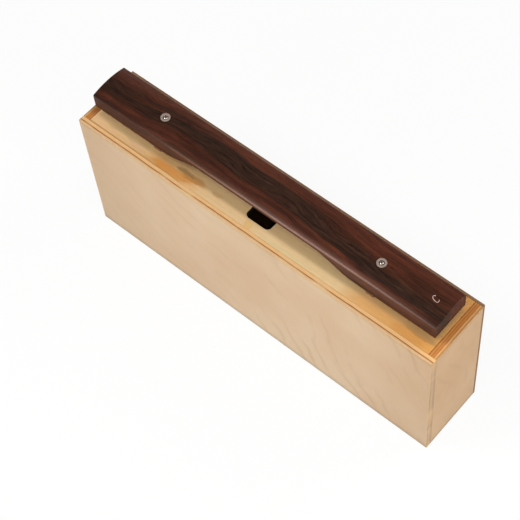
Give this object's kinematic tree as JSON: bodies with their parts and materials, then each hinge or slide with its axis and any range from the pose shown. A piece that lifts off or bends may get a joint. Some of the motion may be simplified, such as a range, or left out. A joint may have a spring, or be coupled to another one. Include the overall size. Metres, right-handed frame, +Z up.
{
  "type": "bass bar",
  "caption": "Crowned rosewood sound bar with an arched underside, floating on felt-topped bridges over a tall plywood resonator box with a sound hole.",
  "frame": {"origin": "on the floor under the middle of the resonator box", "axes": "+X along the bar, +Y from the front panel to the back panel, +Z up"},
  "size_m": [0.59, 0.106, 0.279],
  "materials": {
    "birch_plywood": "clear satin lacquer on sanded plywood",
    "hardboard": "pressed brown hardboard, smooth outside, lacquered",
    "varnished_top": "clear varnish on figured softwood",
    "spruce_strip": "sawn and planed, unvarnished",
    "beech_bridge": "varnished end grain and long grain",
    "felt": "pressed wool felt",
    "grommet_plastic": "moulded, matt",
    "screw_steel": "zinc plated, bright",
    "rosewood": "oiled and rubbed, low sheen"
  },
  "bodies": {
    "resonator": {"top_board": "varnished_top", "front_panel": "birch_plywood", "back_panel": "hardboard", "end_panel_left": "birch_plywood", "end_panel_right": "birch_plywood", "bottom_board": "birch_plywood", "screw_rail_left": "spruce_strip", "screw_rail_right": "spruce_strip", "ledger_top_front": "spruce_strip", "ledger_top_back": "spruce_strip", "ledger_bottom_front": "spruce_strip", "ledger_bottom_back": "spruce_strip", "post_front_left": "spruce_strip", "post_front_right": "spruce_strip", "post_back_left": "spruce_strip", "post_back_right": "spruce_strip", "bridge_left": "beech_bridge", "bridge_right": "beech_bridge", "felt_left": "felt", "felt_right": "felt", "screw_left": "screw_steel", "screw_right": "screw_steel"},
    "bar": {"sound_bar": "rosewood", "grommet_left": "grommet_plastic", "grommet_right": "grommet_plastic"}
  },
  "joints": [
    {"name": "bar_float", "type": "slide", "parent": "resonator", "child": "bar", "axis": [0, 0, 1], "range_m": [0, 0.0012]}
  ]
}
